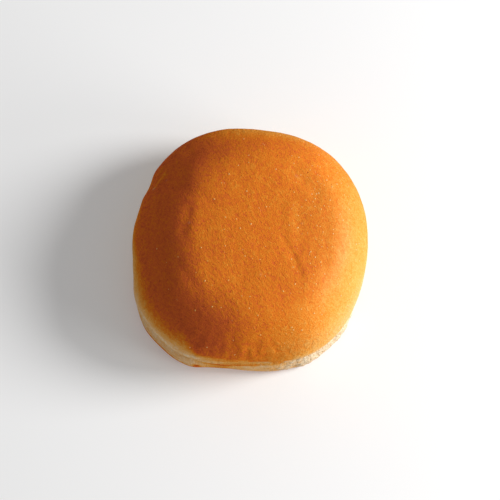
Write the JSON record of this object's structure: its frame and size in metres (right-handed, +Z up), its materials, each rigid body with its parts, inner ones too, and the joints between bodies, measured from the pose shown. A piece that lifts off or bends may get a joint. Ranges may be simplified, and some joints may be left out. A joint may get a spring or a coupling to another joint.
{
  "type": "brioche burger bun",
  "caption": "Whole soft burger bun with a flat base, a pale creased waist and a browned dome with a level top, for holding a patty once it is cut.",
  "frame": {"origin": "middle of the bun's outline, on the plane that its flat base rests on", "axes": "+Z up through the browned top, -Y towards the front, where the waist shows most, +X to the right"},
  "size_m": [0.105, 0.108, 0.052],
  "materials": {
    "crust": "baked egg-washed bread crust with a satin sheen, brown on top and pale round the waist"
  },
  "bodies": {
    "root": {"bun": "crust"}
  },
  "joints": []
}
